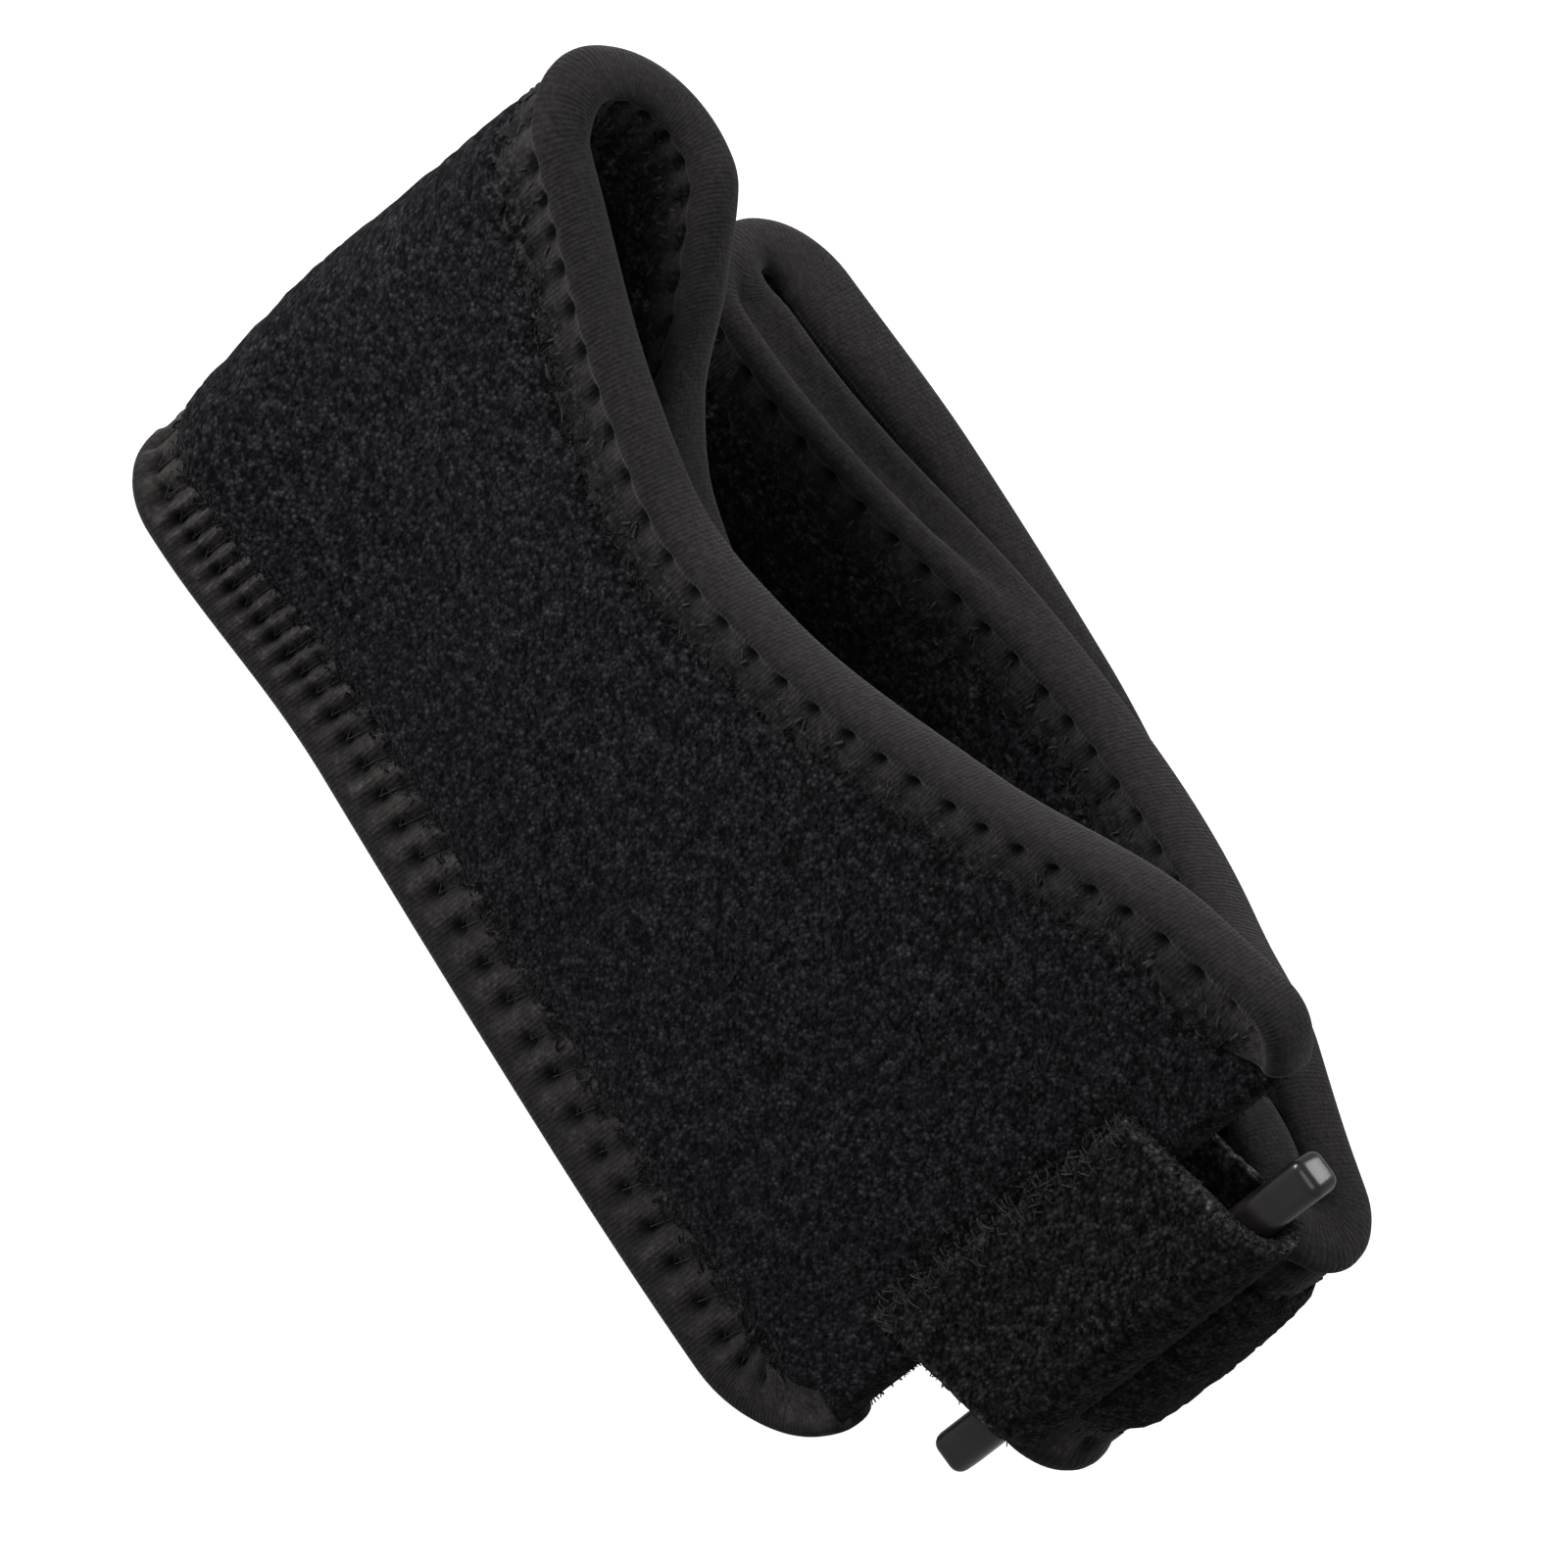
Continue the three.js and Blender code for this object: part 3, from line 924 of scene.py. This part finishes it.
def faceFrame(at, height, off):
    # a point on the cloth with the ways along it and out of it
    x, y, heading = planAt(at)
    zero = np.zeros_like(x)
    along = np.stack([np.cos(heading), np.sin(heading), zero], -1)
    out = np.stack([-np.sin(heading), np.cos(heading), zero], -1) * np.sign(off)[..., None]
    return foldFlat(at, height, off), along, out


stitches = {"Thickness": 0.15, "Bow": 0.16, "Spread": 0.1, "Sides": 5, "Steps": 5, "Seed": 3}
knots = {
    "Length": 0.75,
    "Thickness": 0.2,
    "Bow": 0.12,
    "Spread": 0.5,
    "Sides": 6,
    "Steps": 5,
    "Seed": 8,
    "beyond": 2.0,  # past the row of holes
    "each": 4,
}


def clothPoint(side, edge, spot, deep, off):
    # a point on the tape, so far along it and in from its edge, and the way out of it
    along, at, height, inAt, inHeight = edge
    edgeSpot = np.interp(spot, along, at)
    deep = deep * pullIn(side, edgeSpot)
    where = edgeSpot + deep * np.interp(spot, along, inAt)
    up = np.interp(spot, along, height) + deep * np.interp(spot, along, inHeight)
    point, _, out = faceFrame(where, up, off)
    return point, out


def makeStitches(name, side):
    # strands lie from each needle hole over the tape's edge and back to the next hole
    edge = edgeLine(side)
    along = edge[0]
    count = stitchCount(side, edge[1], along)[0]
    width, row = binding["width"][side], binding["holeRow"][side]
    numbers = np.arange(2, int(count[-1]))
    hole = np.interp(numbers, count, along)
    rows = []
    for sign in (1, -1):
        for lean in (binding["slant"][side], binding["slant"][side] - 1):
            far = np.interp(numbers - lean, count, along)
            near = clothPoint(side, edge, hole, row, sign * (binding["pinch"] - 0.55))[0]
            over, out = clothPoint(side, edge, far, width + 0.2, sign * (binding["edge"] - 0.2))
            rows.append(((near + over) / 2, over - near, out))
    lies = np.concatenate([lie for _, lie, _ in rows])
    length = float(np.median(np.linalg.norm(lies, axis=1)))
    return layStrands(name, {**stitches, "Length": length}, rows, bindingThread)


def makeKnots(name, side):
    # the lock of each stitch shows as a pale lump beside its hole
    edge = edgeLine(side)
    count = stitchCount(side, edge[1], edge[0])[0]
    rng = np.random.default_rng(binding["seed"][side] + 40)
    numbers = np.repeat(np.arange(2, int(count[-1])), knots["each"])
    many = len(numbers)
    spot = np.interp(numbers + rng.uniform(-0.4, 0.4, many), count, edge[0])
    deep = binding["holeRow"][side] + knots["beyond"] + rng.normal(0, 0.8, many)
    rows = []
    for sign in (1, -1):
        lift = binding["pinch"] + rng.uniform(-0.15, 0.05, many)
        base = clothPoint(side, edge, spot, deep, sign * lift)[0]
        tipSpot = spot - rng.uniform(-0.5, 0.9, many)
        tip, out = clothPoint(side, edge, tipSpot, deep + 0.9, sign * (binding["pinch"] + 0.1))
        rows.append((base, tip - base, out))
    return layStrands(name, knots, rows, knotThread)


stitchesBottom = finishPiece(makeStitches("stitchesBottom", "low"), bindingThread, "binding_tape")
knotsTop = finishPiece(makeKnots("knotsTop", "high"), knotThread, "binding_tape")


# the loop-tape tab, folded round the bar

def tabPath():
    # from the front sewn end round the bar to the back one, with the way outwards
    turn = np.linspace(0, math.pi, 26)
    leg = np.arange(tab["overlap"], -tab["reach"], -tab["step"])
    legOff = tab["legOff"] + (tab["turn"] - tab["legOff"]) * smooth(-tab["straight"], -tab["reach"], leg)
    at = np.concatenate([leg, -tab["reach"] - tab["turn"] * np.sin(turn), leg[::-1]])
    off = np.concatenate([legOff, tab["turn"] * np.cos(turn), -legOff[::-1]])
    wayAt, wayOff = np.gradient(at), np.gradient(off)
    size = np.hypot(wayAt, wayOff)
    return at, off, wayOff / size, -wayAt / size


def makeTab():
    at, off, outAt, outOff = tabPath()
    share = np.linspace(-0.5, 0.5, tab["acrossCount"])
    fromSelvage = tab["width"] * (0.5 - np.abs(share))
    fromEnd = np.concatenate([[0], np.cumsum(np.hypot(np.diff(at), np.diff(off)))])
    fromEnd = np.minimum(fromEnd, fromEnd[-1] - fromEnd)
    half = tab["thickness"] / 2
    edgeShare = smooth(0, tab["selvage"], fromSelvage)[None, :] * smooth(-0.3, 1.0, fromEnd)[:, None]
    rng = np.random.default_rng(tab["seed"])
    layers = []
    height = tab["height"] + tabRise(at)[:, None] + tab["width"] * share[None, :]
    for sign in (1, -1):
        fluff = rng.uniform(-1, 1, height.shape) * tab["pile"]
        reach = tab["selvageHalf"] + (half - tab["selvageHalf"]) * edgeShare
        reach = sign * (reach + (fluff if sign > 0 else 0))
        place = at[:, None] + reach * outAt[:, None]
        layers.append(foldFlat(place, height, off[:, None] + reach * outOff[:, None]))
    cloth = np.stack([height, np.repeat(at[:, None], len(share), 1)], -1)
    selvage = 1 - smooth(0.2, tab["selvage"], fromSelvage)[None, :] + 0 * height
    return sleeveMesh("loopTab", *layers, cloth, {"selvage": selvage})


loopTab = finishPiece(makeTab(), loopTape, "loop_tape", "bar_tab")


# loose fibres at cut and sewn edges

fibres = {
    "tapeEdge": {"Length": 0.9, "Thickness": 0.17, "Bow": 0.2, "Spread": 0.4, "Seed": 31, "spacing": 0.21},
    "cutEnd": {"Length": 1.0, "Thickness": 0.12, "Bow": 0.25, "Spread": 0.5, "Seed": 32, "count": 320},
    "tabEnd": {"Length": 0.9, "Thickness": 0.13, "Bow": 0.15, "Spread": 0.5, "Seed": 33, "tufts": (12, 30)},
    "selvage": {"Length": 0.9, "Thickness": 0.13, "Bow": 0.1, "Spread": 0.4, "Seed": 34, "count": 700},
}


def layFibres(name, kind, rows, look):
    return layStrands(name, {**fibres[kind], "Sides": 3, "Steps": 3}, rows, look)


def makeTapeFuzz():
    # pile that stands over the tape's inner edges
    rng = np.random.default_rng(fibres["tapeEdge"]["Seed"])
    rows = []
    for side in ("low", "high"):
        edge = edgeLine(side)
        spot = np.arange(6, edge[0][-1] - 6, fibres["tapeEdge"]["spacing"])
        for sign in (1, -1):
            deep = binding["width"][side] + rng.normal(-0.3, 0.7, len(spot))
            lift = binding["edge"] + rng.uniform(-0.1, 0.2, len(spot))
            base, out = clothPoint(side, edge, spot, deep, sign * lift)
            tipSpot = spot + rng.normal(0, 0.6, len(spot))
            tipDeep = deep - rng.uniform(0.1, 1, len(spot))
            tip = clothPoint(side, edge, tipSpot, tipDeep, sign * binding["edge"])[0]
            rows.append((base, tip - base, out))
    return layFibres("tapeFuzz", "tapeEdge", rows, pileCloth)


def makeCutFuzz():
    # pile past the panel's cut end
    rng = np.random.default_rng(fibres["cutEnd"]["Seed"])
    count = fibres["cutEnd"]["count"]
    height = rng.uniform(10, 76, count)
    off = rng.uniform(-1.6, 2.2, count)
    base, along, out = faceFrame(np.full(count, band["cut"] + 0.3), height, off)
    lie = -along + rng.normal(0, 0.5, (count, 3))
    return layFibres("cutFuzz", "cutEnd", [(base, lie, out)], pileCloth)


def makeTabTufts():
    # the tab's sewn end frays into pale tufts
    rng = np.random.default_rng(fibres["tabEnd"]["Seed"])
    tufts, each = fibres["tabEnd"]["tufts"]
    many = tufts * each
    middle = np.repeat(np.linspace(-0.48, 0.48, tufts), each) * tab["width"]
    at = tab["overlap"] + rng.normal(-0.5, 0.9, many)
    height = tab["height"] + tabRise(at) + middle + rng.normal(0, 0.75, many)
    onTab = rng.uniform(0.55, 0.9, many)
    pastTab = rng.uniform(-0.3, 0.6, many)
    off = tab["legOff"] + np.where(at < tab["overlap"], onTab, pastTab)
    base, along, out = faceFrame(at, height, off)
    lie = along + rng.normal(0, 1.0, (many, 3))
    return layFibres("tabTufts", "tabEnd", [(base, lie, out)], knotThread)


def makeSelvageFuzz():
    # bristles along the tab's two woven edges
    rng = np.random.default_rng(fibres["selvage"]["Seed"])
    at, off, outAt, outOff = tabPath()
    pick = rng.integers(0, int(len(at) * 0.62), fibres["selvage"]["count"])
    many = len(pick)
    end = np.where(rng.uniform(0, 1, many) > 0.5, 1, -1)
    reach = rng.uniform(-0.3, 0.6, many)
    place = at[pick] + reach * outAt[pick]
    inset = rng.uniform(-0.1, 0.9, many)
    height = tab["height"] + tabRise(at[pick]) + end * (tab["width"] / 2 - inset)
    base, _, out = faceFrame(place, height, off[pick] + reach * outOff[pick])
    lie = rng.normal(0, 0.6, (many, 3))
    lie[:, 2] += end
    return layFibres("selvageFuzz", "selvage", [(base, lie, out)], knotThread)


tapeFuzz = finishPiece(makeTapeFuzz(), pileCloth, "pile_neoprene")
cutFuzz = finishPiece(makeCutFuzz(), pileCloth, "pile_neoprene")
tabTufts = finishPiece(makeTabTufts(), knotThread, "loop_tape")
selvageFuzz = finishPiece(makeSelvageFuzz(), knotThread, "loop_tape")


# the square plastic bar

bar = {"side": 4.2, "length": 55, "round": 1.2, "segments": 5}


def makeBar():
    mesh = bpy.data.meshes.new("tabBar")
    shape = bmesh.new()
    bmesh.ops.create_cube(shape, size=1.0)
    bmesh.ops.scale(shape, vec=(bar["side"], bar["side"], bar["length"]), verts=shape.verts)
    bmesh.ops.bevel(
        shape, geom=list(shape.edges), offset=bar["round"], offset_type="OFFSET",
        segments=bar["segments"], profile=0.5, affect="EDGES",
    )
    low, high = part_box("tab_bar")
    heading = float(planAt(np.array(-tab["reach"]))[2])
    place = Matrix.Translation((low + high) / 2) @ Matrix.Rotation(heading, 4, "Z") @ Matrix.Scale(mm, 4)
    bmesh.ops.transform(shape, matrix=place, verts=shape.verts)
    shape.to_mesh(mesh)
    shape.free()
    shadeSmooth(mesh)
    return addObject("tabBar", mesh)


tabBar = finishPiece(makeBar(), barPlastic, "bar_plastic", "tab_bar")


# flat sizes of the soft sheet pieces, printed


def flatTape(side):
    # the tape's cut size: round the roll from one inner edge to the other, and along the bound edge
    deep, share = bindingSection(side)
    wide = np.hypot(np.diff(deep), np.diff(binding["half"] * share)).sum()
    return wide * mm, float(edgeLine(side)[0][-1]) * mm


def flatTab():
    at, off = tabPath()[:2]
    return tab["width"] * mm, float(np.hypot(np.diff(at), np.diff(off)).sum()) * mm


sheets = ((bindingTop, flatTape("high")), (bindingBottom, flatTape("low")), (loopTab, flatTab()))
for piece, flat in sheets:
    print("sheet %s: flat %.1f by %.1f mm" % (piece.name, flat[0] / mm, flat[1] / mm))


# floor, light and camera

floorLook = {
    "colour": (0.2, 0.2, 0.2, 1),
    "roughness": 0.9,
    "specular": 0.1,
    "glow": 0.97,
    "shine": 0.25,  # the share of the glow that shows in the bar
    "side": 4.0,
}

studio = {
    "sky": 0.44,
    "aim": (0, 0, 0.03),
    "key": {"place": (-0.1, 0.66, 0.9), "size": 0.8, "power": 10},
    "fill": {"place": (-0.26, -0.2, 0.14), "size": 0.16, "power": 1.35},
    "front": {"place": (0.13, -0.6, 0.62), "size": 0.4, "power": 1.3},
}


def makeFloor():
    mesh = bpy.data.meshes.new("studioFloor")
    side = floorLook["side"]
    corners = [(-side, -side, 0), (side, -side, 0), (side, side, 0), (-side, side, 0)]
    mesh.from_pydata(corners, [], [(0, 1, 2, 3)])
    floor = addObject("studioFloor", mesh)
    look, tree, shader = newLook("paleFloor", floorLook)
    shader["Base Color"].default_value = floorLook["colour"]
    shader["Emission Color"].default_value = (1, 1, 1, 1)
    # white to the eye and in the bar, without lighting the strap from below
    ray = addNode(tree, "ShaderNodeLightPath", {}).outputs
    shine = addMath(tree, "MULTIPLY", ray["Is Glossy Ray"], floorLook["shine"])
    seen = addMath(tree, "MAXIMUM", ray["Is Camera Ray"], shine)
    tree.links.new(addMath(tree, "MULTIPLY", seen, floorLook["glow"]), shader["Emission Strength"])
    mesh.materials.append(look)


def makeLamp(name):
    lamp = studio[name]
    light = bpy.data.lights.new(name, "AREA")
    light.shape = "DISK"
    light.size = lamp["size"]
    light.energy = lamp["power"]
    source = addObject(name, light)
    source.location = lamp["place"]
    aim = Vector(studio["aim"]) - Vector(lamp["place"])
    source.rotation_euler = aim.to_track_quat("-Z", "Y").to_euler()


def makeSky():
    world = bpy.data.worlds.new("softSky")
    bpy.context.scene.world = world
    world.use_nodes = True
    background = world.node_tree.nodes["Background"]
    background.inputs["Color"].default_value = (1, 1, 1, 1)
    background.inputs["Strength"].default_value = studio["sky"]


view = {
    "azimuth": 10.475,
    "elevation": 40.0,
    "roll": 50.967,
    "distance": 2000.0,
    "target": (-3.09, -2.46, 27.45),
    "focal": 22144.0 / 1600,  # in picture widths
    "sensor": 36.0,
}


def makeCamera():
    turn, rise, roll = (math.radians(view[key]) for key in ("azimuth", "elevation", "roll"))
    back = Vector((math.sin(turn) * math.cos(rise), -math.cos(turn) * math.cos(rise), math.sin(rise)))
    right = Vector((math.cos(turn), math.sin(turn), 0))
    up = back.cross(right)
    # the picture is rolled clockwise, so the camera leans the other way
    pictureRight = right * math.cos(roll) + up * math.sin(roll)
    pictureUp = up * math.cos(roll) - right * math.sin(roll)
    eye = (Vector(view["target"]) + back * view["distance"]) * mm
    data = bpy.data.cameras.new("photoCamera")
    data.sensor_width = view["sensor"]
    data.lens = view["focal"] * view["sensor"]
    data.clip_start = 0.05
    data.clip_end = 20
    camera = addObject("photoCamera", data)
    camera.matrix_world = Matrix((
        (pictureRight.x, pictureUp.x, back.x, eye.x),
        (pictureRight.y, pictureUp.y, back.y, eye.y),
        (pictureRight.z, pictureUp.z, back.z, eye.z),
        (0, 0, 0, 1),
    ))
    bpy.context.scene.camera = camera


makeFloor()
for lampName in ("key", "fill", "front"):
    makeLamp(lampName)
makeSky()
makeCamera()
bpy.context.scene.view_settings.view_transform = "Standard"
print("studio ready")


bpy.context.view_layer.update()
